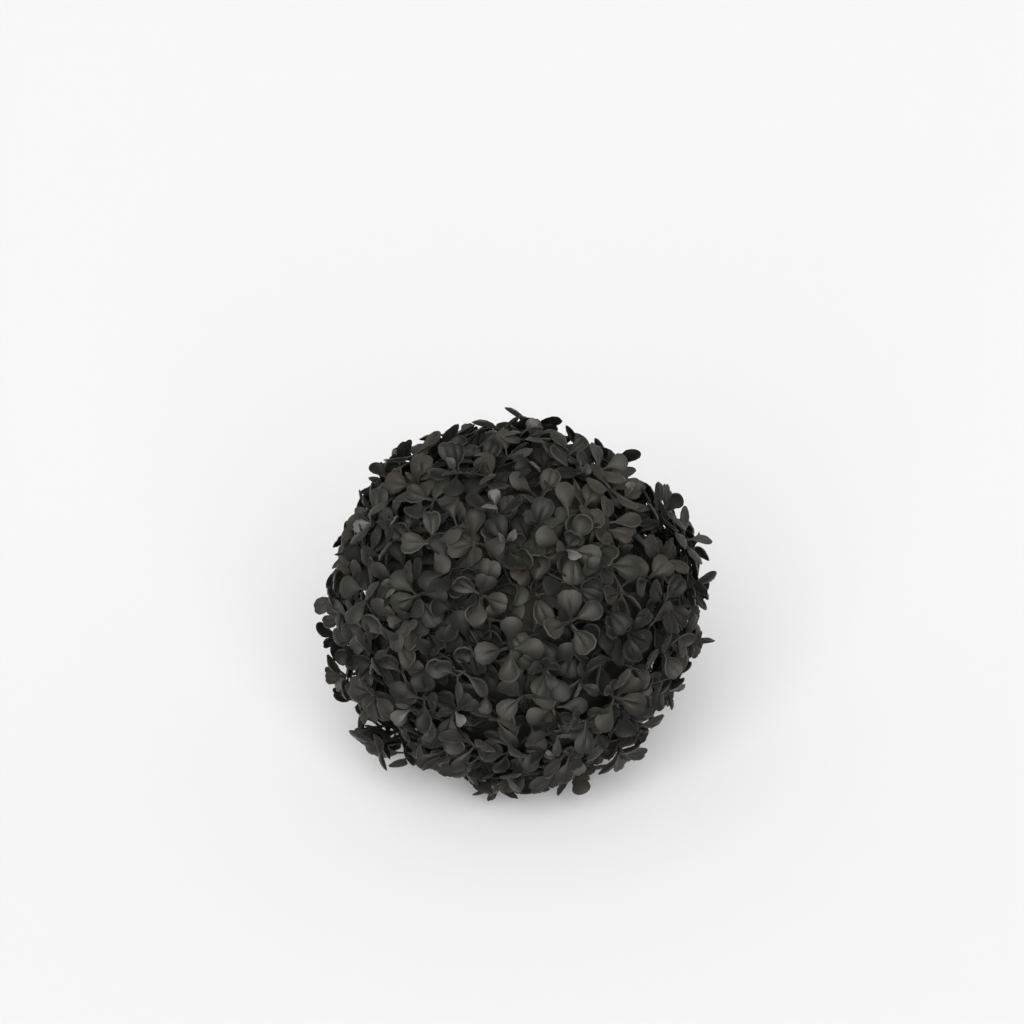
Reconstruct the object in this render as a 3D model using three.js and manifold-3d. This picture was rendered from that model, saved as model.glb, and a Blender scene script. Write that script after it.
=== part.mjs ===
// Artificial box topiary ball: leafy sprigs pegged all round into a hollow inner ball of two half shells.
// Millimetres, +Z up. The ball lies on its own leaves, and the origin is on that surface under its middle.

import * as THREE from "three";
import { mergeVertices } from "three/addons/utils/BufferGeometryUtils.js";
import Module from "manifold-3d";

const wasm = await Module();
wasm.setup();

// The whole ball
const BALL_RADIUS = 104; // the reach of the outer leaves
const TIP_SPREAD = 4; // how far the reach of single leaves lies past that radius, or inside it
const MIDDLE_HEIGHT = 94; // of the ball's middle: its weight presses the lowest leaves flat
const SEED = 200; // of the first sprig's draw

// The inner ball
const SHELL_RADIUS = 75;
const SHELL_WALL = 2;
const SHELL_SIDES = 18;
const SHELL_STEPS = 5; // from a pole to the seam
const SEAM_GAP = 0.3;
const LIP_HEIGHT = 3; // the lower half's rim that keeps the upper half in line
const LIP_WALL = 1.2;
const LIP_CLEARANCE = 0.8;

// Rings of sprigs, from the top of the ball to its underside
const RINGS = [
  { name: "crown", latitude: 75, count: 3, turn: 20 },
  { name: "shoulder", latitude: 45, count: 8, turn: 0 },
  { name: "upper_waist", latitude: 15, count: 10, turn: 9 },
  { name: "lower_waist", latitude: -15, count: 10, turn: 27 },
  { name: "belly", latitude: -45, count: 8, turn: 22 },
  { name: "foot", latitude: -75, count: 3, turn: 50 },
];

// The root of each sprig: a peg through the wall and a dense cushion on it. The cushion's heights are
// measured from the middle of the ball, and its widths are shares of the sprig's own space
const ROOT_SIDES = 6;
const PEG_RADIUS = 1.8;
const HOLE_RADIUS = 2.2;
const PEG_REACH = 4.5; // how far the peg ends inside the inner ball's outer face
const CUSHION_CLEARANCE = 0.4;
const CUSHION_EDGE = 80;
const CUSHION_SHOULDER = 86;
const CUSHION_TOP = 88.5;
const EDGE_SHARE = 0.9;
const SHOULDER_SHARE = 0.68;

// Twigs: they fork low in the cushion and lean out round the sprig's line
const TWIG_SIDES = 3;
const TWIG_ROOT_RADIUS = 1.1;
const TWIG_TIP_RADIUS = 1.6;
const FORK_RADIUS = 80;
const TWIGS = 3;
const LEAN_DISTANCE = [11, 17]; // from the sprig's line to the tip of a twig
const TIP_RADIUS = [91, 94]; // from the middle of the ball to the tip of a twig
const TURN_JITTER = 14; // degrees

// Leaves: crossed pairs near the tip of each twig
const LEAF_PAIRS = 2;
const PAIR_STEP = 2.5; // along the twig, from one pair to the next
const LEAF_LENGTH = [20, 24];
const LEAF_WIDTH = 0.76; // of the length
const LEAF_THICKNESS = 1.4;
const LEAF_KEEL = 0.3; // where the leaf is thickest, as a share of its length
const LEAF_SHOULDER = 0.62; // where the leaf is widest, as a share of its length
const LEAF_FOLD = 0.07; // how far the sides stand above the midrib, as a share of the length
const LEAF_TILT = [24, 76]; // degrees from the line out of the ball
const LEAF_TRIES = 12;
const LEAF_SHRINK = 0.97; // from one try to the next
const JITTER_GROWTH = 0.5; // what each further try adds to the jitter of a leaf's turn
const LEAF_CROSSING = 1e-6; // the volume above which two leaves run through each other
const SHORTEST_EDGE = 0.005; // a sprig with a finer sliver is grown again from its next seed
const SPACE_MARGIN = 0.25; // kept to the border of a sprig's own space
const SHELL_MARGIN = 2.5;
const WELD_DISTANCE = 1e-4; // corners nearer than this are one
const NEARLY_ZERO = 1e-6;

const FINISHES = {
  leaf: { color: 0x33332f, roughness: 0.55, metalness: 0 },
  shell: { color: 0x262624, roughness: 0.6, metalness: 0 },
};

// A draw of numbers between two limits that is the same in every run
function seededDraw(seed) {
  let state = seed;
  return (low, high) => {
    state = (state * 48271) % 2147483647;
    return low + ((high - low) * state) / 2147483647;
  };
}

function solidOf(geometry) {
  const bare = geometry.clone();
  bare.deleteAttribute("normal");
  bare.deleteAttribute("uv");
  const closed = mergeVertices(bare, WELD_DISTANCE);
  return new wasm.Manifold(
    new wasm.Mesh({
      numProp: 3,
      vertProperties: closed.getAttribute("position").array,
      triVerts: Uint32Array.from(closed.getIndex().array),
    }),
  );
}

function meshOf(name, solid, finish) {
  const { vertProperties, triVerts } = solid.getMesh();
  const geometry = new THREE.BufferGeometry();
  geometry.setAttribute("position", new THREE.BufferAttribute(vertProperties, 3));
  geometry.setIndex(new THREE.BufferAttribute(triVerts, 1));
  geometry.computeVertexNormals();
  const mesh = new THREE.Mesh(geometry, new THREE.MeshStandardMaterial(finish));
  mesh.name = name;
  return mesh;
}

// The body with the most volume: loose scraps and the faces of sealed hollows are left out
function largestBody(solid) {
  return solid.decompose().reduce((best, body) => (body.volume() > best.volume() ? body : best));
}

function shortestEdge(solid) {
  const { vertProperties, triVerts } = solid.getMesh();
  const corner = (index) => new THREE.Vector3().fromArray(vertProperties, 3 * triVerts[index]);
  let shortest = Infinity;
  for (let index = 0; index < triVerts.length; index += 1) {
    const next = index % 3 === 2 ? index - 2 : index + 1;
    shortest = Math.min(shortest, corner(index).distanceTo(corner(next)));
  }
  return shortest;
}

// The places of the sprigs, each with the frame that its sprig grows in: +Z away from the ball's middle
function sprigPlaces() {
  return RINGS.flatMap(({ name, latitude, count, turn }) =>
    Array.from({ length: count }, (_, number) => {
      const azimuth = THREE.MathUtils.degToRad(turn + (number * 360) / count);
      const frame = new THREE.Matrix4()
        .makeRotationZ(azimuth)
        .multiply(new THREE.Matrix4().makeRotationY(THREE.MathUtils.degToRad(90 - latitude)));
      const outward = new THREE.Vector3(0, 0, 1).transformDirection(frame);
      return { name: `sprig_${name}_${number + 1}`, frame, outward };
    }),
  );
}

// A body of revolution about +Z from a profile of [radius, height] points, from the lowest to the highest
function turned(profile, sides) {
  const points = profile.map(([radius, height]) => new THREE.Vector2(radius, height));
  return new THREE.LatheGeometry(points, sides).rotateX(Math.PI / 2);
}

// One half of the inner ball as a bowl that opens towards the seam
function halfShell(isUpper) {
  const arc = (radius, from, to) =>
    Array.from({ length: SHELL_STEPS + 1 }, (_, step) => {
      const angle = from + ((to - from) * step) / SHELL_STEPS;
      const height = radius * Math.sin(angle);
      const onAxis = Math.abs(Math.abs(angle) - Math.PI / 2) < NEARLY_ZERO;
      return [onAxis ? 0 : radius * Math.cos(angle), height];
    });
  const inside = SHELL_RADIUS - SHELL_WALL;
  const seam = SEAM_GAP / 2;
  if (isUpper) {
    const edge = (radius) => Math.asin(seam / radius);
    const outer = arc(SHELL_RADIUS, edge(SHELL_RADIUS), Math.PI / 2);
    return turned([...arc(inside, Math.PI / 2, edge(inside)), ...outer], SHELL_SIDES);
  }
  const edge = (radius) => -Math.asin(seam / radius);
  const lipOuter = inside - LIP_CLEARANCE;
  const lipInner = lipOuter - LIP_WALL;
  const lip = [
    [lipOuter, -seam],
    [lipOuter, LIP_HEIGHT],
    [lipInner, LIP_HEIGHT],
  ];
  const inner = arc(inside, edge(inside), -Math.PI / 2).slice(1);
  return turned([...arc(SHELL_RADIUS, -Math.PI / 2, edge(SHELL_RADIUS)), ...lip, ...inner], SHELL_SIDES);
}

function pegHole({ frame }) {
  const depth = 4 * SHELL_WALL;
  const hole = new THREE.CylinderGeometry(HOLE_RADIUS, HOLE_RADIUS, depth, ROOT_SIDES);
  return solidOf(hole.rotateX(Math.PI / 2).translate(0, 0, SHELL_RADIUS - SHELL_WALL / 2).applyMatrix4(frame));
}

function innerBallHalf(name, isUpper, places) {
  const onThisHalf = places.filter(({ outward }) => outward.z > 0 === isUpper);
  const half = onThisHalf.reduce((body, place) => body.subtract(pegHole(place)), solidOf(halfShell(isUpper)));
  return meshOf(name, half, FINISHES.shell);
}

// How wide the sprig's own space is to one side of its line, for each unit along that line
function spaceWidth({ frame, outward }, places, azimuth) {
  const side = new THREE.Vector3(Math.cos(azimuth), Math.sin(azimuth), 0).transformDirection(frame);
  const nearer = places.filter((other) => side.dot(other.outward) > NEARLY_ZERO);
  return Math.min(...nearer.map((other) => (1 - outward.dot(other.outward)) / side.dot(other.outward)));
}

// The peg through the inner ball's wall and the cushion that the twigs stand out of, in the ball's frame
function rootGeometry(place, places) {
  const profile = [
    [0, SHELL_RADIUS - PEG_REACH],
    [PEG_RADIUS, SHELL_RADIUS - PEG_REACH],
    [PEG_RADIUS, SHELL_RADIUS + CUSHION_CLEARANCE],
    [EDGE_SHARE, CUSHION_EDGE],
    [SHOULDER_SHARE, CUSHION_SHOULDER],
    [0, CUSHION_TOP],
  ];
  const root = turned(profile, ROOT_SIDES);
  const corners = root.getAttribute("position");
  for (let corner = 0; corner < corners.count; corner += 1) {
    const [x, y, height] = [corners.getX(corner), corners.getY(corner), corners.getZ(corner)];
    if (height > SHELL_RADIUS + SHELL_MARGIN) {
      const width = height * spaceWidth(place, places, Math.atan2(y, x));
      corners.setXY(corner, x * width, y * width);
    }
  }
  return root.applyMatrix4(place.frame);
}

// A twig between two points, thickest at the bud at its tip
function twigGeometry(root, tip) {
  const along = new THREE.Vector3().subVectors(tip, root);
  const middle = new THREE.Vector3().addVectors(root, tip).multiplyScalar(0.5);
  const upright = new THREE.Vector3(0, 1, 0);
  const turn = new THREE.Quaternion().setFromUnitVectors(upright, along.clone().normalize());
  const twig = new THREE.CylinderGeometry(TWIG_TIP_RADIUS, TWIG_ROOT_RADIUS, along.length(), TWIG_SIDES);
  return twig.applyQuaternion(turn).translate(middle.x, middle.y, middle.z);
}

// A leaf of eight faces along +X, folded up along its midrib and widest past its middle
function leafGeometry(length) {
  const leaf = new THREE.OctahedronGeometry(1);
  const corners = leaf.getAttribute("position");
  for (let corner = 0; corner < corners.count; corner += 1) {
    const along = Math.round(corners.getX(corner));
    const across = Math.round(corners.getY(corner));
    const through = Math.round(corners.getZ(corner));
    const widest = across === 0 ? LEAF_KEEL : LEAF_SHOULDER;
    corners.setXYZ(
      corner,
      length * (along === 0 ? widest : (along + 1) / 2),
      (across * length * LEAF_WIDTH) / 2,
      (through * LEAF_THICKNESS) / 2 + Math.abs(across) * length * LEAF_FOLD,
    );
  }
  return leaf;
}

// The frame of a leaf that leans out from a line: +X along the leaf, +Z on its upper side
function leafFrame(root, line, turn, tilt) {
  const sideways = new THREE.Vector3(1, 0, 0).projectOnPlane(line).normalize().applyAxisAngle(line, turn);
  const along = line.clone().multiplyScalar(Math.cos(tilt)).addScaledVector(sideways, Math.sin(tilt));
  const up = line.clone().multiplyScalar(Math.sin(tilt)).addScaledVector(sideways, -Math.cos(tilt));
  const across = new THREE.Vector3().crossVectors(up, along);
  return new THREE.Matrix4().makeBasis(along, across, up).setPosition(root);
}

// Whether every corner lies in the sprig's own space: nearer to its line than to any other, clear of the
// inner ball and within reach
function isInSpace(geometry, place, places, reach) {
  const corners = geometry.getAttribute("position");
  const point = new THREE.Vector3();
  for (let corner = 0; corner < corners.count; corner += 1) {
    point.fromBufferAttribute(corners, corner);
    const distance = point.length();
    if (distance > reach || distance < SHELL_RADIUS + SHELL_MARGIN) {
      return false;
    }
    for (const other of places) {
      const apart = new THREE.Vector3().subVectors(place.outward, other.outward);
      if (other !== place && point.dot(apart) < SPACE_MARGIN * apart.length()) {
        return false;
      }
    }
  }
  return true;
}

function runsThrough(solid, others) {
  return others.some((other) => solid.intersect(other).volume() > LEAF_CROSSING);
}

// The first try at a leaf that stays in the sprig's own space and runs through nothing, if there is one
function growLeaf(root, turn, place, places, grown, draw) {
  const line = root.clone().normalize();
  const reach = BALL_RADIUS + draw(-TIP_SPREAD, TIP_SPREAD);
  const length = draw(...LEAF_LENGTH);
  for (let attempt = 0; attempt < LEAF_TRIES; attempt += 1) {
    const jitter = THREE.MathUtils.degToRad(draw(-TURN_JITTER, TURN_JITTER) * (1 + JITTER_GROWTH * attempt));
    const tilt = THREE.MathUtils.degToRad(draw(...LEAF_TILT));
    const frame = leafFrame(root, line, turn + jitter, tilt);
    const leaf = leafGeometry(length * LEAF_SHRINK ** attempt).applyMatrix4(frame).applyMatrix4(place.frame);
    if (isInSpace(leaf, place, places, reach)) {
      const solid = solidOf(leaf);
      if (!runsThrough(solid, grown)) {
        return [solid];
      }
    }
  }
  return [];
}

// The tips of a sprig's twigs in its own frame
function twigTips(draw) {
  const firstTurn = draw(0, 2 * Math.PI);
  return Array.from({ length: TWIGS }, (_, twig) => {
    const jitter = THREE.MathUtils.degToRad(draw(-TURN_JITTER, TURN_JITTER));
    const turn = firstTurn + (twig * 2 * Math.PI) / TWIGS + jitter;
    const distance = draw(...LEAN_DISTANCE);
    const height = Math.sqrt(draw(...TIP_RADIUS) ** 2 - distance ** 2);
    return new THREE.Vector3(distance * Math.cos(turn), distance * Math.sin(turn), height);
  });
}

// All that grows from one peg by one seed, fused into one body
function growSprig(place, places, seed) {
  const draw = seededDraw(seed);
  const fork = new THREE.Vector3(0, 0, FORK_RADIUS);
  const tips = twigTips(draw);
  const cushion = solidOf(rootGeometry(place, places));
  const twigs = tips.map((tip) => solidOf(twigGeometry(fork, tip).applyMatrix4(place.frame)));
  const leaves = [];
  tips.forEach((tip, number) => {
    const line = new THREE.Vector3().subVectors(tip, fork).normalize();
    const otherTwigs = twigs.filter((_, other) => other !== number);
    const firstTurn = draw(0, Math.PI);
    for (let slot = 0; slot < 2 * LEAF_PAIRS; slot += 1) {
      const pair = Math.floor(slot / 2);
      const root = tip.clone().addScaledVector(line, -PAIR_STEP * (pair + 0.5));
      const turn = firstTurn + (pair * Math.PI) / 2 + slot * Math.PI;
      const grown = [cushion, ...otherTwigs, ...leaves];
      leaves.push(...growLeaf(root, turn, place, places, grown, draw));
    }
  });
  return [...twigs, ...leaves].reduce((body, piece) => body.add(piece), cushion);
}

// A sprig with what would reach below the floor cut flat and no slivers
function sprigSolid(place, places, floor, firstSeed) {
  for (let seed = firstSeed; ; seed += places.length) {
    const sprig = largestBody(growSprig(place, places, seed).subtract(floor));
    if (shortestEdge(sprig) > SHORTEST_EDGE) {
      return sprig;
    }
  }
}

// What lies below the surface that the ball rests on, in the ball's own frame
function floorSolid() {
  const side = 4 * BALL_RADIUS;
  return solidOf(new THREE.BoxGeometry(side, side, side).translate(0, 0, -MIDDLE_HEIGHT - side / 2));
}

function buildBall() {
  const places = sprigPlaces();
  const floor = floorSolid();
  const ball = new THREE.Group();
  ball.add(innerBallHalf("inner_ball_upper", true, places));
  ball.add(innerBallHalf("inner_ball_lower", false, places));
  places.forEach((place, number) => {
    ball.add(meshOf(place.name, sprigSolid(place, places, floor, SEED + number), FINISHES.leaf));
  });
  const bounds = new THREE.Box3().setFromObject(ball);
  const middle = bounds.getCenter(new THREE.Vector3());
  ball.position.set(-middle.x, -middle.y, -bounds.min.z);
  return ball;
}

const topiaryBall = new THREE.Group();
topiaryBall.add(buildBall());

export default topiaryBall;
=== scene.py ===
"""The looks of an artificial box topiary ball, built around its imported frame.

The ball is a perforated inner ball of two halves with leafy sprigs pegged all round into it. Every
sprig grows by the rule of the part's source: from one peg, by a seeded draw, on lines out of the
ball's middle. Here the rule is carried on to finer twigs and to leaves of their own true size.

Lengths are in metres, angles in degrees in fields and in radians in methods, and points about the
ball's middle until they are set on the floor.
"""

import logging
import math
from collections.abc import Iterable, Iterator, Sequence
from dataclasses import dataclass, replace
from enum import Enum
from functools import cached_property
from typing import TypeVar

import bmesh
import bpy
import numpy as np
from bmesh.types import BMesh, BMVert
from bpy.types import Material, Mesh, Node, NodeSocket, NodeTree, Object
from mathutils import Matrix, Vector


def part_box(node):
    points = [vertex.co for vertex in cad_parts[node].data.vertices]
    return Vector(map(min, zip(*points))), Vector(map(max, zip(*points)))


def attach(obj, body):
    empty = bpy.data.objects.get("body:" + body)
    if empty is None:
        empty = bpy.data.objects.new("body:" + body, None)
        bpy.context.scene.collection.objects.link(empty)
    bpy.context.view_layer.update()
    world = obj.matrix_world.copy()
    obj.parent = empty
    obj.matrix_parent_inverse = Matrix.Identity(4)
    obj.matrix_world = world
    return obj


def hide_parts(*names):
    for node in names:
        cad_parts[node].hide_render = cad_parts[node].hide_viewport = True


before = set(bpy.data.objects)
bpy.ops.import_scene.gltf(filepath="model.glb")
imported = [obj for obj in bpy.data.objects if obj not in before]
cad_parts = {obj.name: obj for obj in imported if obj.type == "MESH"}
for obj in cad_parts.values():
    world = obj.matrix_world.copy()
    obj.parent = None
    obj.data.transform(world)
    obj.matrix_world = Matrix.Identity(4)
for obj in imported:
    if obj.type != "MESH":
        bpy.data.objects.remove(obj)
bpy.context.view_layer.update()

log = logging.getLogger("topiary_ball")

MM = 0.001
INNER_BALL_RADIUS = 75 * MM
# Below this height the ball's weight presses its leaves flat
FLOOR_PRESS = 4 * MM
# The middle of a noise from 0 to 1
NOISE_MIDDLE = 0.5
ROOT_BODY = "root"

Choice = TypeVar("Choice")


def unit(vector: np.ndarray) -> np.ndarray:
    """Return the direction of a vector, one long."""
    return vector / np.linalg.norm(vector)


def stacked(points: Iterable[np.ndarray]) -> np.ndarray:
    """Return arrays of points as one array, which may be empty."""
    return np.concatenate([np.empty((0, 3)), *points])


class SeededDraw:
    """A draw of numbers that is the same in every run."""

    MULTIPLIER = 48271
    MODULUS = 2147483647
    SEEDS = 1000000

    def __init__(self, seed: int) -> None:
        """Start the draw from a whole number from 1 up."""
        self.state = seed

    def share(self) -> float:
        """Return the next number from 0 to 1."""
        self.state = (self.state * self.MULTIPLIER) % self.MODULUS
        return self.state / self.MODULUS

    def between(self, low: float, high: float) -> float:
        """Return the next number from low to high."""
        return low + (high - low) * self.share()

    def around(self, spread: float) -> float:
        """Return the next number from -spread to spread."""
        return self.between(-spread, spread)

    def pick(self, choices: Sequence[Choice]) -> Choice:
        """Return one of the choices."""
        return choices[int(self.share() * len(choices))]

    def seed(self) -> int:
        """Return a seed for another draw."""
        return 1 + int(self.share() * self.SEEDS)


@dataclass(frozen=True)
class PlasticFinish:
    """Moulded matte plastic: soft clouds in colour and gloss, a fine grain and painted light from
    above.

    Attributes:
        name: The material's name.
        colour: Its middle colour.
        colour_spread: The share by which the clouds darken and lighten it.
        cloud_softness: How gradually they turn from dark to light.
        roughness: Its middle roughness.
        roughness_spread: How far the clouds lower and raise it.
        cloud_scale: How closely the clouds stand.
        cloud_detail: How many finer layers they have.
        grain_scale: How closely the grains stand.
        grain_detail: How many finer layers they have.
        grain_depth: How deep they are.
        specular: The level of its reflections.
        painted_light_range: Painted light from above: the colour's factor where it is darkest and
            on what faces straight up.
        painted_light_starts: How far up a surface faces where the painted light starts to lighten
            it, from -1 to 1.
        sheen: The weight of its sheen.
        sheen_roughness: The roughness of its sheen.
    """

    name: str
    colour: tuple[float, float, float]
    colour_spread: float = 0.28
    cloud_softness: float = 0.9
    roughness: float = 0.54
    roughness_spread: float = 0.1
    cloud_scale: float = 95.0
    cloud_detail: float = 3.0
    grain_scale: float = 1500.0
    grain_detail: float = 2.0
    grain_depth: float = 0.08 * MM
    specular: float = 0.15
    # Painted light from above: the colour is lightened where the surface faces up and darkened
    # where it faces down
    painted_light_range: tuple[float, float] = (0.35, 1.8)
    painted_light_starts: float = -0.35
    sheen: float = 0.05
    sheen_roughness: float = 0.4

    def material(self) -> Material:
        """Make the finish as a node material on object coordinates.

        Returns:
            The material.
        """
        material = bpy.data.materials.new(self.name)
        material.use_nodes = True
        tree = material.node_tree
        shader = tree.nodes["Principled BSDF"]
        shader.inputs["Specular IOR Level"].default_value = self.specular
        shader.inputs["Sheen Weight"].default_value = self.sheen
        shader.inputs["Sheen Roughness"].default_value = self.sheen_roughness
        surface = tree.nodes.new("ShaderNodeTexCoord")
        clouds = self.noise(tree, surface, self.cloud_scale, self.cloud_detail)
        # Painted light from above, by which way the surface faces
        colour = self.with_painted_light(tree, surface, self.clouded(tree, clouds))
        tree.links.new(colour, shader.inputs["Base Color"])
        gloss = tree.nodes.new("ShaderNodeMapRange")
        gloss.inputs["To Min"].default_value = self.roughness - self.roughness_spread
        gloss.inputs["To Max"].default_value = self.roughness + self.roughness_spread
        tree.links.new(clouds, gloss.inputs["Value"])
        tree.links.new(gloss.outputs["Result"], shader.inputs["Roughness"])
        grain = self.noise(tree, surface, self.grain_scale, self.grain_detail)
        bump = tree.nodes.new("ShaderNodeBump")
        bump.inputs["Distance"].default_value = self.grain_depth
        tree.links.new(grain, bump.inputs["Height"])
        tree.links.new(bump.outputs["Normal"], shader.inputs["Normal"])
        return material

    def noise(self, tree: NodeTree, surface: Node, scale: float, detail: float) -> NodeSocket:
        """Add a noise that is fixed to the object.

        Args:
            tree: The material's nodes.
            surface: The node that gives the surface's coordinates.
            scale: How finely the noise is divided.
            detail: How many finer layers it has.

        Returns:
            The noise, from 0 to 1.
        """
        noise = tree.nodes.new("ShaderNodeTexNoise")
        noise.inputs["Scale"].default_value = scale
        noise.inputs["Detail"].default_value = detail
        tree.links.new(surface.outputs["Object"], noise.inputs["Vector"])
        return noise.outputs["Fac"]

    def clouded(self, tree: NodeTree, clouds: NodeSocket) -> NodeSocket:
        """Add the colour with its darker and lighter clouds.

        Args:
            tree: The material's nodes.
            clouds: The clouds' noise.

        Returns:
            The colour.
        """
        tint = tree.nodes.new("ShaderNodeValToRGB")
        shares = (1 - self.colour_spread, 1 + self.colour_spread)
        for stop, lightness in zip(tint.color_ramp.elements, shares):
            stop.position = NOISE_MIDDLE + (lightness - 1) * self.cloud_softness
            stop.color = (*(channel * lightness for channel in self.colour), 1.0)
        tree.links.new(clouds, tint.inputs["Fac"])
        return tint.outputs["Color"]

    def with_painted_light(self, tree: NodeTree, surface: Node, colour: NodeSocket) -> NodeSocket:
        """Lay dust on what faces up.

        Args:
            tree: The material's nodes.
            surface: The node that gives the surface's direction.
            colour: The colour without the painted light.

        Returns:
            The colour with the painted light.
        """
        # Painted light from above: the colour is scaled by how far the surface faces up
        facing = tree.nodes.new("ShaderNodeSeparateXYZ")
        tree.links.new(surface.outputs["Normal"], facing.inputs["Vector"])
        painted_light_range = tree.nodes.new("ShaderNodeMapRange")
        painted_light_range.inputs["From Min"].default_value = self.painted_light_starts
        painted_light_range.inputs["To Min"].default_value, painted_light_range.inputs["To Max"].default_value = self.painted_light_range
        tree.links.new(facing.outputs["Z"], painted_light_range.inputs["Value"])
        with_painted_light = tree.nodes.new("ShaderNodeVectorMath")
        with_painted_light.operation = "SCALE"
        tree.links.new(colour, with_painted_light.inputs["Vector"])
        tree.links.new(painted_light_range.outputs["Result"], with_painted_light.inputs["Scale"])
        return with_painted_light.outputs["Vector"]


class LeafTone(Enum):
    """The near-black tones of the leaves: moulded tones, a painted shade and a painted highlight.
    """

    CHARCOAL = PlasticFinish("leaf_charcoal", (0.0184, 0.0178, 0.0146))
    SOFT_BLACK = PlasticFinish("leaf_soft_black", (0.0056, 0.0054, 0.0045))
    OLIVE_BLACK = PlasticFinish("leaf_olive_black", (0.0113, 0.0117, 0.0090))
    WARM_BLACK = PlasticFinish("leaf_warm_black", (0.0153, 0.0134, 0.0105))
    # Painted highlight: a paler, glossier grey that makes some buds look brightly lit
    PAINTED_HIGHLIGHT_GREY = PlasticFinish("leaf_painted_highlight_grey", (0.041, 0.0395, 0.036), specular=0.3)
    # Painted shade: the same plastic made darker for leaves that stand deep in the ball, where
    # shade falls
    PAINTED_SHADE_BLACK = PlasticFinish(
        "leaf_painted_shade_black", (0.0072, 0.0070, 0.0057), specular=0.08, sheen=0.02
    )


# How the outer leaves' tones are dealt out, spray by spray
TONE_DEAL = (
    *(LeafTone.CHARCOAL,) * 4,
    *(LeafTone.SOFT_BLACK,) * 3,
    *(LeafTone.OLIVE_BLACK,) * 2,
    *(LeafTone.WARM_BLACK,) * 2,
)


@dataclass(frozen=True)
class Shape:
    """A small closed shape.

    Attributes:
        vertices: Its vertices, one row each.
        faces: Its faces by the numbers of their vertices.
    """

    vertices: np.ndarray
    faces: list[list[int]]

    @classmethod
    def from_bmesh(cls, made: BMesh) -> "Shape":
        """Take over what the operators made, and free it.

        Args:
            made: What the operators made.

        Returns:
            The shape.
        """
        made.verts.index_update()
        vertices = np.array([vertex.co[:] for vertex in made.verts])
        faces = [[vertex.index for vertex in face.verts] for face in made.faces]
        made.free()
        return cls(vertices, faces)

    def set_on_floor(self, middle: np.ndarray) -> "Shape":
        """Move the shape to its place, and press flat what would touch the floor.

        Args:
            middle: The ball's middle in the row frame, whose floor is at 0.

        Returns:
            The shape there, with nothing of it below the floor.
        """
        vertices = self.vertices + middle
        low = vertices[:, 2] < FLOOR_PRESS
        vertices[low, 2] = FLOOR_PRESS * np.exp(vertices[low, 2] / FLOOR_PRESS - 1)
        return Shape(vertices, self.faces)


@dataclass(frozen=True)
class Rod:
    """A closed rod that can be laid between two points.

    Attributes:
        sides: How many sides it has.
        radius: Its radius at its start.
        taper: Its radius at its end, as a share of that.
    """

    sides: int
    radius: float
    taper: float

    # A direction that no rod runs along, from which its first side is turned
    SIDE_GUIDE = (0.3, 0.5, 0.81)

    @cached_property
    def mould(self) -> Shape:
        """Make the rod along +Z, one long from the origin and one in radius at its start.

        Returns:
            The rod's shape.
        """
        made = bmesh.new()
        bmesh.ops.create_cone(
            made, cap_ends=True, segments=self.sides, radius1=1.0, radius2=self.taper, depth=1.0
        )
        bmesh.ops.translate(made, verts=made.verts[:], vec=(0, 0, 0.5))
        return Shape.from_bmesh(made)

    def between(self, start: np.ndarray, end: np.ndarray) -> Shape:
        """Lay the rod between two points.

        Args:
            start: Where it starts.
            end: Where it ends.

        Returns:
            The rod's shape there.
        """
        along = end - start
        side = unit(np.cross(along, self.SIDE_GUIDE))
        other = np.cross(unit(along), side)
        axes = np.stack([side * self.radius, other * self.radius, along])
        return Shape(start + self.mould.vertices @ axes, self.mould.faces)


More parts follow.
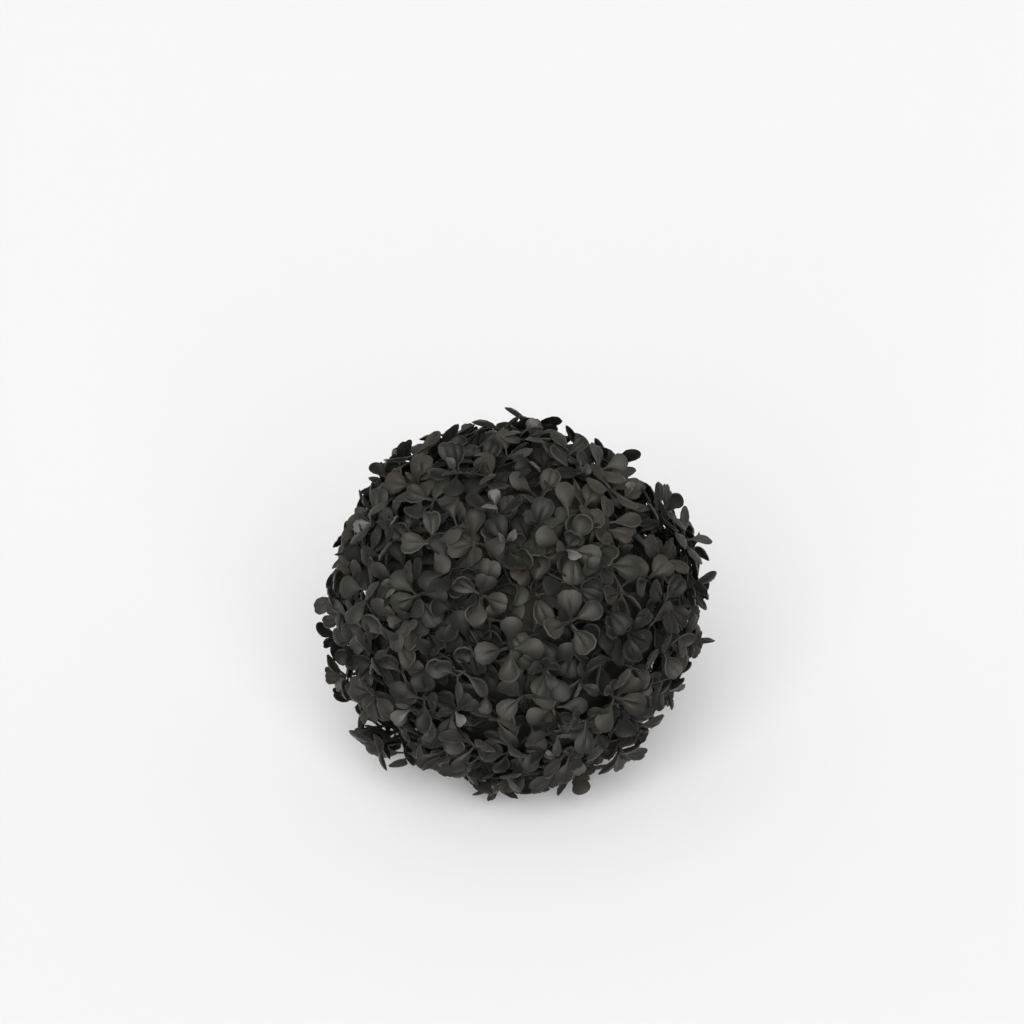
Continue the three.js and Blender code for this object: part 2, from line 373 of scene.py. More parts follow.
@dataclass(frozen=True)
class LeafPattern:
    """The mould of one kind of leaf, along +X with its root at the origin and its upper side to +Z.

    The upper side is a flat dome with a groove along the midrib, and the underside is hollow with a
    lip round it. A share along the leaf runs from -1 at its root over 0 at the foot of its blade to
    1 at its tip, and a share across it from -1 at one edge to 1 at the other.

    Attributes:
        blade_length: The length of the blade.
        blade_width: Its greatest width.
        stalk_length: The length of the stalk.
        stalk_width: Its width.
        widest: Where along the blade it is widest.
        taper: How slim the blade is towards its foot.
        dome: How high the dome is.
        dome_skew: Where the dome is highest: halfway along at 1, and nearer the foot below 1.
        dome_slimness: How slim the dome is towards its ends.
        stalk_dome: How high the stalk is, as a share of the dome.
        flatness: How flat the dome is across the blade.
        groove: How deep the groove is, as a share of the dome.
        groove_width: How far across it reaches.
        notch: How deep the notch at the tip is, as a share of the blade's length.
        notch_width: How far across it reaches.
        tip_width: How wide the tip is, as a share of the greatest width.
        curl: How far the tip curls down.
        thickness: How thick the leaf is inside its lip.
        lip_depth: How deep the lip is.
        lip_width: How wide the lip is.
        shares_across: Where across the leaf its lines of vertices run.
        shares_along: Where along the leaf its rows of vertices stand.
    """

    blade_length: float = 14.0 * MM
    blade_width: float = 12.0 * MM
    stalk_length: float = 4.2 * MM
    stalk_width: float = 1.3 * MM
    widest: float = 0.68
    taper: float = 1.2
    dome: float = 1.9 * MM
    dome_skew: float = 0.85
    dome_slimness: float = 0.5
    stalk_dome: float = 0.25
    flatness: float = 3.2
    groove: float = 0.12
    groove_width: float = 0.62
    notch: float = 0.0
    notch_width: float = 0.5
    tip_width: float = 0.45
    curl: float = 0.0
    thickness: float = 0.6 * MM
    lip_depth: float = 0.35 * MM
    lip_width: float = 0.8 * MM
    shares_across: tuple[float, ...] = (-1.0, -0.62, 0.0, 0.62, 1.0)
    shares_along: tuple[float, ...] = (-1.0, 0.03, 0.27, 0.5, 0.7, 0.87, 1.0)

    def width_share(self, blade: float) -> float:
        """Give the width of the blade.

        Args:
            blade: Where along the blade, from 0 to 1.

        Returns:
            The width there as a share of the greatest width.
        """
        if blade < self.widest:
            return math.sin(math.pi / 2 * blade / self.widest) ** self.taper
        beyond = (blade - self.widest) / (1 - self.widest)
        return math.sqrt(max(self.tip_width**2, 1 - beyond**2))

    def point(self, across: float, along: float) -> Vector:
        """Give a point on the upper side.

        Args:
            across: Its share across the leaf.
            along: Its share along the leaf.

        Returns:
            The point in the leaf's own frame.
        """
        blade = max(0.0, along)
        half = max(self.width_share(blade) * self.blade_width, self.stalk_width) / 2
        near_tip = max(0.0, (blade - self.widest) / (1 - self.widest))
        in_groove = max(0.0, 1 - abs(across) / self.groove_width)
        in_notch = max(0.0, 1 - abs(across) / self.notch_width)
        tip_drop = (1 - self.widest) * (1 - math.sqrt(1 - self.tip_width**2))
        x = self.stalk_length * (1 + min(0.0, along)) + self.blade_length * blade
        x -= self.blade_length * (tip_drop * across**2 + self.notch * in_notch) * near_tip**2
        swell = self.stalk_dome
        if blade > 0:
            swell = max(0.0, math.sin(math.pi * blade**self.dome_skew)) ** self.dome_slimness
        height = self.dome * swell * (1 - abs(across) ** self.flatness - self.groove * in_groove)
        return Vector((x, half * across, height - self.curl * blade**2))

    def shape(self) -> Shape:
        """Mould the leaf.

        Returns:
            The leaf as a closed shape.
        """
        columns, bands = len(self.shares_across) - 1, len(self.shares_along) - 1
        leaf = bmesh.new()
        bmesh.ops.create_grid(leaf, x_segments=columns, y_segments=bands, size=1.0)
        upper_side = {}
        for vertex in leaf.verts:
            column = round((vertex.co.x + 1) / 2 * columns)
            band = round((vertex.co.y + 1) / 2 * bands)
            upper_side[vertex] = (column, band)
            vertex.co = self.point(self.shares_across[column], self.shares_along[band])
        bmesh.ops.reverse_faces(leaf, faces=leaf.faces[:])
        leaf.normal_update()
        bmesh.ops.solidify(leaf, geom=leaf.faces[:], thickness=self.thickness)
        self.draw_lip(leaf, upper_side)
        bmesh.ops.recalc_face_normals(leaf, faces=leaf.faces[:])
        return Shape.from_bmesh(leaf)

    def draw_lip(self, leaf: BMesh, upper_side: dict[BMVert, tuple[int, int]]) -> None:
        """Draw the edge of the blade's underside inwards, to a lip round its hollow.

        Args:
            leaf: The leaf with both its sides.
            upper_side: The column and band of each vertex of the upper side.
        """
        last_column, last_band = len(self.shares_across) - 1, len(self.shares_along) - 1
        for vertex in leaf.verts:
            ends = [edge.other_vert(vertex) for edge in vertex.link_edges]
            rim = next((end for end in ends if end in upper_side), None)
            if vertex in upper_side or rim is None or self.shares_along[upper_side[rim][1]] < 0:
                continue
            column, band = upper_side[rim]
            back = -float(band == last_band)
            aside = float(column == 0) - float(column == last_column)
            inward = Vector((back, aside, 0)).normalized()
            room = self.lip_width if band == last_band else abs(rim.co.y) / 2
            width = min(self.lip_width, room)
            vertex.co = rim.co + inward * width - Vector((0, 0, self.lip_depth))


class LeafKind(Enum):
    """The moulds that the leaves of a spray come from."""

    SPOON = LeafPattern()
    DEEP_SPOON = LeafPattern(
        blade_length=14.6 * MM,
        blade_width=11.4 * MM,
        dome=2.7 * MM,
        flatness=2.6,
        groove=0.06,
        lip_depth=0.5 * MM,
    )
    NARROW = LeafPattern(blade_length=15.2 * MM, blade_width=10.2 * MM, groove=0.3, widest=0.64)
    GROOVED = LeafPattern(
        blade_length=13.6 * MM,
        blade_width=12.2 * MM,
        taper=0.62,
        dome=2.1 * MM,
        groove=0.46,
        groove_width=0.17,
        notch=0.04,
        tip_width=0.55,
        curl=0.8 * MM,
        shares_across=(-1.0, -0.6, -0.17, 0.0, 0.17, 0.6, 1.0),
        shares_along=(-1.0, 0.03, 0.23, 0.52, 0.8, 1.0),
    )
    HEART = LeafPattern(
        blade_length=12.8 * MM,
        blade_width=12.8 * MM,
        taper=0.6,
        dome=2.1 * MM,
        groove=0.6,
        groove_width=0.34,
        notch=0.10,
        tip_width=0.74,
        shares_across=(-1.0, -0.7, -0.34, 0.0, 0.34, 0.7, 1.0),
        shares_along=(-1.0, 0.03, 0.23, 0.52, 0.8, 1.0),
    )
    BUD = LeafPattern(
        blade_length=7.6 * MM,
        blade_width=6.2 * MM,
        stalk_length=1.0 * MM,
        stalk_width=1.1 * MM,
        dome=1.5 * MM,
        groove=0.45,
        groove_width=0.5,
        notch=0.06,
        tip_width=0.7,
        lip_depth=0.3 * MM,
        lip_width=0.4 * MM,
        shares_across=(-1.0, -0.5, 0.0, 0.5, 1.0),
        shares_along=(-1.0, 0.1, 0.5, 0.8, 1.0),
    )


# How the large leaves' moulds are dealt out
LARGE_KINDS = (
    LeafKind.SPOON,
    LeafKind.DEEP_SPOON,
    LeafKind.NARROW,
    *(LeafKind.GROOVED,) * 2,
    *(LeafKind.HEART,) * 2,
)


def joined(name: str, shapes: list[Shape]) -> Mesh:
    """Join many small shapes into one mesh.

    Args:
        name: The mesh's name.
        shapes: The shapes in their places.

    Returns:
        The mesh.
    """
    faces: list[list[int]] = []
    count = 0
    for shape in shapes:
        faces.extend([corner + count for corner in face] for face in shape.faces)
        count += len(shape.vertices)
    mesh = bpy.data.meshes.new(name)
    mesh.from_pydata(stacked(shape.vertices for shape in shapes), [], faces)
    mesh.validate()
    return mesh


def dressed(
    mesh: Mesh, finish: PlasticFinish, nodes: list[str], sharp_angle: float = 50.0
) -> Object:
    """Make a finished mesh a piece of the object.

    Args:
        mesh: The mesh with its place in it, whose name becomes the piece's.
        finish: What the piece is made of.
        nodes: The nodes of the frame that the piece stands for.
        sharp_angle: The angle between faces above which their edge shows, in degrees.

    Returns:
        The piece.
    """
    mesh.polygons.foreach_set("use_smooth", [True] * len(mesh.polygons))
    mesh.set_sharp_from_angle(angle=math.radians(sharp_angle))
    mesh.materials.append(bpy.data.materials.get(finish.name) or finish.material())
    piece = bpy.data.objects.new(mesh.name, mesh)
    bpy.context.scene.collection.objects.link(piece)
    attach(piece, ROOT_BODY)
    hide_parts(*nodes)
    return piece


@dataclass(frozen=True)
class SprigPlace:
    """The place of one sprig.

    Attributes:
        node: The sprig's node in the frame.
        turn: The turn from the ball's own axis to the sprig's line.
    """

    node: str
    turn: Matrix

    def point(self, radius: float, lean: float = 0.0, turn: float = 0.0) -> np.ndarray:
        """Give a point near the sprig's line.

        Args:
            radius: How far it is from the ball's middle.
            lean: How far it is from the sprig's line.
            turn: Where it is round that line.

        Returns:
            The point.
        """
        height = math.sqrt(radius**2 - lean**2)
        upright = Vector((lean * math.cos(turn), lean * math.sin(turn), height))
        return np.array(self.turn @ upright)


@dataclass(frozen=True)
class Ring:
    """A ring of sprigs round the ball, as the part's source has it.

    Attributes:
        name: The ring's name in the names of its nodes.
        latitude: Its latitude on the ball.
        count: How many sprigs it has.
        turn: Where round the ball its first sprig stands.
    """

    name: str
    latitude: float
    count: int
    turn: float

    def places(self) -> Iterator[SprigPlace]:
        """Set the sprigs evenly round the ring.

        Yields:
            The place of each sprig.
        """
        lean = Matrix.Rotation(math.radians(90 - self.latitude), 3, "Y")
        for number in range(self.count):
            azimuth = math.radians(self.turn + number * 360 / self.count)
            turn = Matrix.Rotation(azimuth, 3, "Z") @ lean
            yield SprigPlace(f"sprig_{self.name}_{number + 1}", turn)


@dataclass(frozen=True)
class Tip:
    """The end of a twig, on which a spray of leaves grows.

    Attributes:
        place: Where it is.
        knuckle: Where its twig comes from.
        tone: The tone of its spray.
        seed: The seed of its spray.
    """

    place: np.ndarray
    knuckle: np.ndarray
    tone: LeafTone
    seed: int

    @cached_property
    def height(self) -> float:
        """Return how far the tip is from the ball's middle."""
        return np.linalg.norm(self.place)

    @cached_property
    def outward(self) -> np.ndarray:
        """Return the direction from the ball's middle to the tip."""
        return unit(self.place)

    @cached_property
    def twig(self) -> np.ndarray:
        """Return the direction of its twig."""
        return unit(self.place - self.knuckle)


@dataclass
class Sprigs:
    """The sprigs of the ball without their leaves: their pegs, collars and twigs.

    A radius is a distance from the ball's middle, and two numbers are a least and a most.

    Attributes:
        middle: The ball's middle in the row frame.
        rings: The rings of sprigs.
        seed: The seed of the first sprig.
        peg: The peg that holds a sprig in the inner ball.
        peg_reach: How far it reaches into the inner ball.
        collar: The collar round a peg.
        collar_height: How far it stands out from the inner ball.
        twig: A twig or side twig.
        fork_radius: Where a sprig's twigs fork.
        twigs: How many twigs a sprig has.
        lean_distance: How far a twig's tip is from its sprig's line.
        tip_radius: Where the tips are.
        sprig_lift: How much further in or out all tips of a sprig may be.
        turn_jitter: How far a twig is turned from its even place round the sprig's line.
        side_twigs: How many side twigs a twig has.
        side_lean: How far a side twig's tip is from its sprig's line.
        side_turn: How far it is from its twig's tip round that line.
        knuckle_share: Where along its twig a side twig comes from.
        tip_gap: How close tips may come before they push each other apart.
        easing_rounds: How often they do so.
        easing_step: How far they do so each time, as a share of what they lack.
    """

    middle: np.ndarray
    rings: tuple[Ring, ...] = (
        Ring("crown", 75, 3, 20),
        Ring("shoulder", 45, 8, 0),
        Ring("upper_waist", 15, 10, 9),
        Ring("lower_waist", -15, 10, 27),
        Ring("belly", -45, 8, 22),
        Ring("foot", -75, 3, 50),
    )
    seed: int = 200
    peg: Rod = Rod(sides=8, radius=1.8 * MM, taper=0.75)
    peg_reach: float = 4.5 * MM
    collar: Rod = Rod(sides=16, radius=4.2 * MM, taper=0.9)
    collar_height: float = 1.6 * MM
    twig: Rod = Rod(sides=6, radius=1.0 * MM, taper=0.75)
    fork_radius: float = 80 * MM
    twigs: int = 3
    lean_distance: tuple[float, float] = (8 * MM, 13 * MM)
    tip_radius: tuple[float, float] = (83 * MM, 96 * MM)
    sprig_lift: float = 3.5 * MM
    turn_jitter: float = 14.0
    side_twigs: int = 2
    side_lean: tuple[float, float] = (21 * MM, 26 * MM)
    side_turn: float = 29.0
    knuckle_share: tuple[float, float] = (0.35, 0.6)
    tip_gap: float = 18.5 * MM
    easing_rounds: int = 24
    easing_step: float = 0.25

    @cached_property
    def places(self) -> list[SprigPlace]:
        """Return the places of the sprigs, from the top of the ball to its underside."""
        return [place for ring in self.rings for place in ring.places()]

    @property
    def nodes(self) -> list[str]:
        """Return the nodes of the sprigs."""
        return [place.node for place in self.places]

    @cached_property
    def tips(self) -> list[Tip]:
        """Return the tips of all twigs, eased apart."""
        sprigs = [self.sprig_tips(place, seed) for seed, place in enumerate(self.places, self.seed)]
        return self.eased_apart([tip for sprig in sprigs for tip in sprig])

    def sprig_tips(self, place: SprigPlace, seed: int) -> Iterator[Tip]:
        """Grow the twigs of one sprig.

        Args:
            place: The sprig's place.
            seed: Its seed.

        Yields:
            The tips of its twigs and side twigs.
        """
        draw = SeededDraw(seed)
        fork = place.point(self.fork_radius)
        first_turn = draw.between(0, 2 * math.pi)
        lift = draw.around(self.sprig_lift)
        for number in range(self.twigs):
            turn = first_turn + number * 2 * math.pi / self.twigs
            turn += math.radians(draw.around(self.turn_jitter))
            radius = lift + draw.between(*self.tip_radius)
            lean = draw.between(*self.lean_distance)
            end = place.point(radius, lean, turn)
            yield Tip(end, fork, draw.pick(TONE_DEAL), draw.seed())
            for side in range(self.side_twigs):
                way = 2 * side / (self.side_twigs - 1) - 1
                aside = way * self.side_turn + draw.around(self.turn_jitter / 2)
                lean = draw.between(*self.side_lean)
                knuckle = fork + (end - fork) * draw.between(*self.knuckle_share)
                radius = lift + draw.between(*self.tip_radius)
                side_end = place.point(radius, lean, turn + math.radians(aside))
                yield Tip(side_end, knuckle, draw.pick(TONE_DEAL), draw.seed())

    def eased_apart(self, tips: list[Tip]) -> list[Tip]:
        """Let tips that stand close together push each other apart.

        Args:
            tips: The tips of all sprigs.

        Returns:
            The tips in their new places, as far from the ball's middle as before.
        """
        points = np.array([tip.place for tip in tips])
        radii = np.linalg.norm(points, axis=1, keepdims=True)
        for _ in range(self.easing_rounds):
            apart = points[:, None, :] - points[None, :, :]
            distance = np.linalg.norm(apart, axis=2)
            np.fill_diagonal(distance, np.inf)
            push = np.clip(1 - distance / self.tip_gap, 0, None) / distance
            pushed = (apart * push[:, :, None]).sum(axis=1)
            points = points + pushed * self.tip_gap * self.easing_step
            points *= radii / np.linalg.norm(points, axis=1, keepdims=True)
        return [replace(tip, place=point) for tip, point in zip(tips, points)]

    def build(self) -> list[Object]:
        """Lay all twigs, pegs and collars, and join them.

        Returns:
            The one piece that they make.
        """
        rods = [self.twig.between(tip.knuckle, tip.place) for tip in self.tips]
        for place in self.places:
            inside = place.point(INNER_BALL_RADIUS - self.peg_reach)
            wall = place.point(INNER_BALL_RADIUS)
            above = place.point(INNER_BALL_RADIUS + self.collar_height)
            rods.append(self.peg.between(place.point(self.fork_radius), inside))
            rods.append(self.collar.between(wall, above))
        mesh = joined("twigs", [rod.set_on_floor(self.middle) for rod in rods])
        return [dressed(mesh, LeafTone.SOFT_BLACK.value, self.nodes)]


@dataclass(frozen=True)
class LeafPair:
    """Two leaves that stand opposite each other on a twig.

    Two numbers are a least and a most.

    Attributes:
        below_tip: How far below the twig's tip they stand.
        tilt: How far they lean out from the spray's line.
        scale: How large they are against their mould.
        chance: How likely a twig is to bear them.
        is_bud: Whether they are buds.
        in_painted_shade: Whether they stand low in the ball and get the painted shade tone.
    """

    below_tip: float
    tilt: tuple[float, float]
    scale: tuple[float, float]
    chance: float = 1.0
    is_bud: bool = False
    in_painted_shade: bool = False


@dataclass(frozen=True)
class Leaf:
    """One leaf where it has grown.

    Attributes:
        shape: Its closed shape.
        tone: Its tone.
        midrib: Points along its midrib, one row each.
    """

    shape: Shape
    tone: LeafTone
    midrib: np.ndarray

    @cached_property
    def rays(self) -> np.ndarray:
        """Return the directions from the ball's middle to the points of the midrib."""
        return self.midrib / np.linalg.norm(self.midrib, axis=1, keepdims=True)

    def gap_to(self, points: np.ndarray) -> float:
        """Return how far the midrib is from the nearest of some points."""
        apart = self.midrib[:, None, :] - points[None, :, :]
        return np.linalg.norm(apart, axis=2).min(initial=np.inf)


@dataclass
class Leaves:
    """The leaves of the ball: outer sprays on the tips, and an inner layer low on the twigs.

    Two numbers are a least and a most.

    Attributes:
        middle: The ball's middle in the row frame.
        tips: The tips of the twigs.
        nodes: The nodes of the sprigs.
        shell_margin: How far the leaves stay off the inner ball.
        midrib_shares: Where along a leaf its room is measured.
        turned_over: The share of the leaves that lie face down.
        roll_jitter: How far a leaf is rolled about its length.
        pairs: The crossed pairs of a spray, from the lowest up.
        line_lean: How much a spray leans along its twig, where 0 is straight outwards.
        leaf_rise: How far above its tip an outer leaf may reach.
        leaf_tries: How often each outer leaf is tried.
        turn_jitter: How far its first try is turned off its place in the crossed pairs.
        try_spread: How much further each later try is turned, as a share of that.
        near_leaves: How many of the last outer leaves a new one is kept apart from.
        painted_highlight_buds: The share of the buds that get the painted highlight tone.
        inner_tries: How many inner leaves are tried round each twig.
        inner_rise: How far above the inner ball their roots are.
        inner_scale: How large they are against their mould.
        inner_tilt: How far they lean out from the line through their tip.
        inner_turn_jitter: How far they are turned off their even places, in radians.
        inner_reach: How far from the ball's middle they reach at most.
        inner_gap: How far apart they are at least, on the inner ball.
    """

    middle: np.ndarray
    tips: list[Tip]
    nodes: list[str]
    shell_margin: float = 1.5 * MM
    midrib_shares: tuple[float, ...] = (0.4, 0.65, 0.9)
    turned_over: float = 0.45
    roll_jitter: float = 27.0
    pairs: tuple[LeafPair, ...] = (
        LeafPair(12.0 * MM, (66, 92), (0.83, 0.93), chance=0.4, in_painted_shade=True),
        LeafPair(8.0 * MM, (66, 92), (0.88, 0.98), chance=0.2, in_painted_shade=True),
        LeafPair(3.8 * MM, (64, 98), (0.90, 1.01), chance=0.92),
        LeafPair(1.2 * MM, (58, 90), (0.85, 0.98), chance=0.7),
        LeafPair(0.4 * MM, (22, 60), (0.75, 0.95), chance=0.3),
        LeafPair(0.2 * MM, (15, 55), (1.0, 1.4), chance=0.3, is_bud=True),
    )
    line_lean: float = 0.25
    leaf_rise: tuple[float, float] = (6.5 * MM, 14 * MM)
    leaf_tries: int = 5
    turn_jitter: float = 14.0
    try_spread: float = 0.4
    near_leaves: int = 900
    painted_highlight_buds: float = 0.3
    inner_tries: int = 14
    inner_rise: tuple[float, float] = (2.0 * MM, 6 * MM)
    inner_scale: tuple[float, float] = (0.85, 0.98)
    inner_tilt: tuple[float, float] = (70, 94)
    inner_turn_jitter: float = 0.3
    inner_reach: float = 86 * MM
    inner_gap: float = 4.6 * MM

    @cached_property
    def moulds(self) -> dict[LeafKind, Shape]:
        """Return the shape of each kind of leaf."""
        return {kind: kind.value.shape() for kind in LeafKind}

    def leaf_axes(self, line: np.ndarray, turn: float, tilt: float, roll: float) -> np.ndarray:
        """Turn a leaf so that it leans out from a line.

        Args:
            line: The direction that it leans from.
            turn: Where round that line it stands.
            tilt: How far it leans.
            roll: How far it is rolled about its own length.

        Returns:
            A matrix whose columns are the leaf's own axes.
        """
        flat = unit(np.array((1.0, 0.0, 0.0)) - line * line[0])
        sideways = flat * math.cos(turn) + np.cross(line, flat) * math.sin(turn)
        along = line * math.cos(tilt) + sideways * math.sin(tilt)
        up = line * math.sin(tilt) - sideways * math.cos(tilt)
        across = np.cross(up, along)
        rolled_up = up * math.cos(roll) + across * math.sin(roll)
        return np.stack([along, np.cross(rolled_up, along), rolled_up], axis=1)

    def leaf(
        self, kind: LeafKind, tone: LeafTone, scale: float, root: np.ndarray, axes: np.ndarray
    ) -> Leaf:
        """Set a leaf in its place.

        Args:
            kind: Its mould.
            tone: Its tone.
            scale: How large it is against its mould.
            root: Where it grows from.
            axes: A matrix whose columns are its own axes.

        Returns:
            The leaf.
        """
        mould = self.moulds[kind]
        scaled = mould.vertices * scale
        along = np.array(self.midrib_shares) * scaled[:, 0].max()
        midrib = root + np.outer(along, axes[:, 0])
        return Leaf(Shape(root + scaled @ axes.T, mould.faces), tone, midrib)

    def fits(self, leaf: Leaf, reach: float) -> bool:
        """Tell whether a leaf stays off the inner ball and within a reach from its middle."""
        radii = np.linalg.norm(leaf.shape.vertices, axis=1)
        return radii.max() <= reach and radii.min() >= INNER_BALL_RADIUS + self.shell_margin

    def outer_leaf(
        self, tip: Tip, pair: LeafPair, turn: float, draw: SeededDraw, others: list[Leaf]
    ) -> Leaf | None:
        """Grow one leaf of a pair: of a few tries, the one with the most room is kept.

        Args:
            tip: The tip of its twig.
            pair: Its pair.
            turn: Where round the spray's line it stands.
            draw: The draw of its spray.
            others: The outer leaves so far.

        Returns:
            The leaf, or None where no try fits.
        """
        kind = LeafKind.BUD if pair.is_bud else draw.pick(LARGE_KINDS)
        scale = draw.between(*pair.scale)
        reach = tip.height + draw.between(*self.leaf_rise)
        over = math.pi if not pair.is_bud and draw.share() < self.turned_over else 0.0
        # Leaves low in the ball get the painted shade tone
        tone = LeafTone.PAINTED_SHADE_BLACK if pair.in_painted_shade else tip.tone
        # Some buds get the painted highlight tone
        if pair.is_bud and draw.share() < self.painted_highlight_buds:
            tone = LeafTone.PAINTED_HIGHLIGHT_GREY
        root = tip.place - tip.twig * pair.below_tip
        line = unit(tip.outward + self.line_lean * tip.twig)
        fitting = []
        for attempt in range(self.leaf_tries):
            jitter = draw.around(self.turn_jitter) * (1 + self.try_spread * attempt)
            tilt = math.radians(draw.between(*pair.tilt))
            roll = over + math.radians(draw.around(self.roll_jitter))
            axes = self.leaf_axes(line, turn + math.radians(jitter), tilt, roll)
            leaf = self.leaf(kind, tone, scale, root, axes)
            if self.fits(leaf, reach):
                fitting.append(leaf)
        near = stacked(other.midrib for other in others[-self.near_leaves :])
        return max(fitting, key=lambda leaf: leaf.gap_to(near), default=None)

    def grow_spray(self, tip: Tip, grown: list[Leaf]) -> None:
        """Grow the outer leaves of one tip in crossed pairs.

        Args:
            tip: The tip.
            grown: The outer leaves so far, to which the new ones are added.
        """
        draw = SeededDraw(tip.seed)
        first_turn = draw.between(0, math.pi)
        for number, pair in enumerate(self.pairs):
            if draw.share() > pair.chance:
                continue
            for side in range(2):
                turn = first_turn + number * math.pi / 2 + side * math.pi
                leaf = self.outer_leaf(tip, pair, turn, draw, grown)
                if leaf is not None:
                    grown.append(leaf)

    def grow_inner_leaves(self, tip: Tip, grown: list[Leaf]) -> None:
        """Grow the leaves that stand low on the twig of one tip and hide the inner ball.

        Args:
            tip: The tip.
            grown: The inner leaves so far, to which the new ones are added.
        """
        draw = SeededDraw(tip.seed + 1)
        for attempt in range(self.inner_tries):
            kind = draw.pick(LARGE_KINDS)
            scale = draw.between(*self.inner_scale)
            rise = min(draw.between(*self.inner_rise), tip.height - INNER_BALL_RADIUS)
            root = tip.place - tip.twig * (tip.height - INNER_BALL_RADIUS - rise)
            turn = 2 * math.pi * attempt / self.inner_tries + draw.around(self.inner_turn_jitter)
            tilt = math.radians(draw.between(*self.inner_tilt))
            roll = math.radians(draw.around(self.roll_jitter))
            over = math.pi * (draw.share() < self.turned_over)
            axes = self.leaf_axes(tip.outward, turn, tilt, roll + over)
            # Inner leaves all get the painted shade tone
            leaf = self.leaf(kind, LeafTone.PAINTED_SHADE_BLACK, scale, root, axes)
            if not self.fits(leaf, self.inner_reach):
                continue
            middle_ray = leaf.rays[len(self.midrib_shares) // 2]
            apart = stacked(other.rays for other in grown) - middle_ray
            gap = np.linalg.norm(apart, axis=1).min(initial=np.inf)
            if gap * INNER_BALL_RADIUS >= self.inner_gap:
                grown.append(leaf)

    def build(self) -> list[Object]:
        """Grow all leaves and join those of each tone.

        Returns:
            A piece for each tone.
        """
        outer: list[Leaf] = []
        inner: list[Leaf] = []
        for tip in self.tips:
            self.grow_spray(tip, outer)
            self.grow_inner_leaves(tip, inner)
        log.info("%d tips, %d outer and %d inner leaves", len(self.tips), len(outer), len(inner))
        pieces = []
        for tone in LeafTone:
            shapes = [leaf.shape for leaf in outer + inner if leaf.tone is tone]
            name = f"leaves_{tone.name.lower()}"
            mesh = joined(name, [shape.set_on_floor(self.middle) for shape in shapes])
            pieces.append(dressed(mesh, tone.value, self.nodes))
        return pieces


class Half(Enum):
    """The halves of the inner ball, each with the way that it lies from the seam."""

    UPPER = 1
    LOWER = -1


@dataclass
class InnerBall:
    """The perforated inner ball: two half shells that the sprigs are pegged into.

    Attributes:
        middle: Its middle in the row frame.
        radius: Its outer radius.
        wall: How thick its wall is.
        subdivisions: How finely it is divided, with an opening at each corner.
        hole_size: How far an opening reaches from its corner.
        seam_offset: How far each half ends from the seam.
        sharp_angle: The angle between faces above which their edge shows.
        finish: What it is moulded in.
    """

    middle: np.ndarray
    radius: float = INNER_BALL_RADIUS
    wall: float = 2 * MM
    subdivisions: int = 3
    hole_size: float = 2.6 * MM
    seam_offset: float = 0.15 * MM
    sharp_angle: float = 40.0
    finish: PlasticFinish = PlasticFinish(
        "inner_ball_black", (0.028, 0.0273, 0.0239), roughness=0.7, specular=0.1, sheen=0.01
    )

    def perforated_ball(self) -> BMesh:
        """Make the whole ball with its openings, without a wall.

        Returns:
            The ball round the origin.
        """
        shell = bmesh.new()
        bmesh.ops.create_icosphere(shell, subdivisions=self.subdivisions, radius=self.radius)
        bevelled = bmesh.ops.bevel(
            shell,
            geom=shell.verts[:],
            offset=self.hole_size,
            offset_type="OFFSET",
            segments=1,
            profile=0.5,
            affect="VERTICES",
            material=-1,
        )
        bmesh.ops.delete(shell, geom=bevelled["faces"], context="FACES")
        return shell

    def half_shell(self, half: Half) -> Object:
        """Build one half.

        Args:
            half: Which half it is.

        Returns:
            The piece.
        """
        shell = self.perforated_ball()
        bmesh.ops.bisect_plane(
            shell,
            geom=shell.verts[:] + shell.edges[:] + shell.faces[:],
            plane_co=(0, 0, half.value * self.seam_offset),
            plane_no=(0, 0, -half.value),
            clear_outer=True,
        )
        bmesh.ops.recalc_face_normals(shell, faces=shell.faces[:])
        bmesh.ops.solidify(shell, geom=shell.faces[:], thickness=self.wall)
        bmesh.ops.recalc_face_normals(shell, faces=shell.faces[:])
        bmesh.ops.translate(shell, verts=shell.verts[:], vec=Vector(self.middle))
        node = f"inner_ball_{half.name.lower()}"
        mesh = bpy.data.meshes.new(f"{node}_half")
        shell.to_mesh(mesh)
        shell.free()
        return dressed(mesh, self.finish, [node], self.sharp_angle)

    def build(self) -> list[Object]:
        """Return both halves as pieces."""
        return [self.half_shell(half) for half in Half]


@dataclass(frozen=True)
class SoftLight:
    """A wide soft light of the studio, as seen from the ball.

    Attributes:
        name: The light's name.
        turn: How far to the left of the camera it stands.
        elevation: How high above the floor it stands.
        floor_share: How bright it makes a white floor, as a share of full white.
        spread: How wide it is.
    """

    name: str
    turn: float
    elevation: float
    floor_share: float
    spread: float

    def hang(self) -> None:
        """Hang the light in the scene."""
        lift = math.radians(self.elevation)
        light = bpy.data.lights.new(self.name, "SUN")
        light.energy = self.floor_share * math.pi / math.sin(lift)
        light.angle = math.radians(self.spread)
        hung = bpy.data.objects.new(self.name, light)
        hung.rotation_euler = (math.pi / 2 - lift, 0, -math.radians(self.turn))
        bpy.context.scene.collection.objects.link(hung)


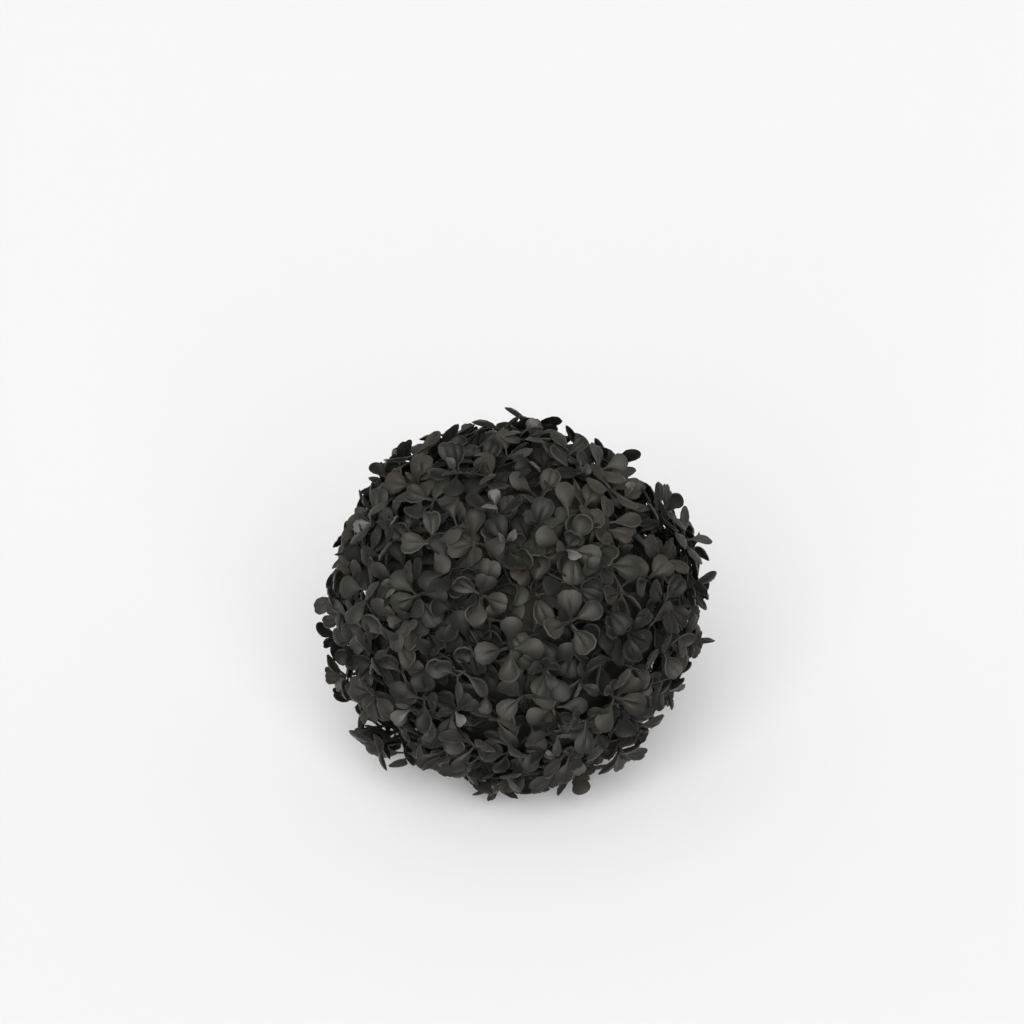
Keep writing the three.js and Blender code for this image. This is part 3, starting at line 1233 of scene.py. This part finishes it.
@dataclass
class Studio:
    """A pale floor, soft light and the camera.

    Attributes:
        aim: The ball's middle in the row frame.
        elevation: How high the camera stands, as seen from the ball.
        distance: How far the camera is from the ball's middle.
        lens: The camera's focal length in millimetres.
        sensor_width: The width of its sensor in millimetres.
        image_side: The width and height of the picture in pixels.
        ball_in_image: Where the ball's middle shows in it, in pixels.
        floor_side: The length of the floor's sides.
        floor_colour: Its colour.
        floor_roughness: Its roughness.
        horizon_strength: How bright the light from all round is at the horizon.
        zenith_strength: How bright it is from straight above.
        lights: The soft lights.
    """

    aim: np.ndarray
    elevation: float = 30.0
    distance: float = 1.1
    lens: float = 74.7
    sensor_width: float = 36.0
    image_side: int = 1024
    ball_in_image: tuple[float, float] = (512.0, 606.7)
    floor_side: float = 12.0
    floor_colour: tuple[float, float, float] = (0.7, 0.7, 0.7)
    floor_roughness: float = 0.9
    horizon_strength: float = 0.7
    zenith_strength: float = 0.2
    lights: tuple[SoftLight, ...] = (
        SoftLight("front_light", 2, 30, 0.86, 60),
        SoftLight("high_left_light", 35, 62, 0.12, 60),
    )

    def build(self) -> None:
        """Set the stage."""
        self.add_floor()
        self.add_light()
        self.add_camera()

    def add_floor(self) -> None:
        """Lay a plain pale floor."""
        floor = bmesh.new()
        bmesh.ops.create_grid(floor, x_segments=1, y_segments=1, size=self.floor_side / 2)
        mesh = bpy.data.meshes.new("floor")
        floor.to_mesh(mesh)
        floor.free()
        material = bpy.data.materials.new("floor_white")
        material.use_nodes = True
        shader = material.node_tree.nodes["Principled BSDF"]
        shader.inputs["Base Color"].default_value = (*self.floor_colour, 1.0)
        shader.inputs["Roughness"].default_value = self.floor_roughness
        mesh.materials.append(material)
        plane = bpy.data.objects.new("floor", mesh)
        bpy.context.scene.collection.objects.link(plane)

    def add_light(self) -> None:
        """Light the stage from all round, most from the horizon, and by the soft lights."""
        world = bpy.data.worlds.new("studio")
        world.use_nodes = True
        tree = world.node_tree
        background = tree.nodes["Background"]
        background.inputs["Color"].default_value = (1.0, 1.0, 1.0, 1.0)
        direction = tree.nodes.new("ShaderNodeTexCoord")
        height = tree.nodes.new("ShaderNodeSeparateXYZ")
        tree.links.new(direction.outputs["Generated"], height.inputs["Vector"])
        strength = tree.nodes.new("ShaderNodeMapRange")
        strength.inputs["To Min"].default_value = self.horizon_strength
        strength.inputs["To Max"].default_value = self.zenith_strength
        tree.links.new(height.outputs["Z"], strength.inputs["Value"])
        tree.links.new(strength.outputs["Result"], background.inputs["Strength"])
        bpy.context.scene.world = world
        for light in self.lights:
            light.hang()

    def add_camera(self) -> None:
        """Stand the camera so that the ball shows at its place in the picture."""
        camera_data = bpy.data.cameras.new("camera")
        camera_data.lens = self.lens
        camera_data.sensor_width = self.sensor_width
        camera = bpy.data.objects.new("camera", camera_data)
        pixels = self.lens / self.sensor_width * self.image_side
        below = math.atan((self.ball_in_image[1] - self.image_side / 2) / pixels)
        beside = math.atan((self.ball_in_image[0] - self.image_side / 2) / pixels)
        lift = math.radians(self.elevation)
        outward = Vector((0, -math.cos(lift), math.sin(lift)))
        camera.location = Vector(self.aim) + self.distance * outward
        camera.rotation_euler = (math.pi / 2 - lift + below, 0, beside)
        bpy.context.scene.collection.objects.link(camera)
        bpy.context.scene.camera = camera
        bpy.context.scene.view_settings.view_transform = "Standard"


def main() -> None:
    """Build the ball and the studio round it, and report each piece."""
    logging.basicConfig(level=logging.INFO, format="%(message)s")
    low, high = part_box("inner_ball_lower")
    middle = np.array(((low.x + high.x) / 2, (low.y + high.y) / 2, low.z + INNER_BALL_RADIUS))
    sprigs = Sprigs(middle)
    leaves = Leaves(middle, sprigs.tips, sprigs.nodes)
    for assembly in (leaves, sprigs, InnerBall(middle)):
        for piece in assembly.build():
            triangles = sum(len(polygon.vertices) - 2 for polygon in piece.data.polygons)
            log.info("%s: %d triangles", piece.name, triangles)
    Studio(middle).build()


if __name__ == "__main__":
    main()
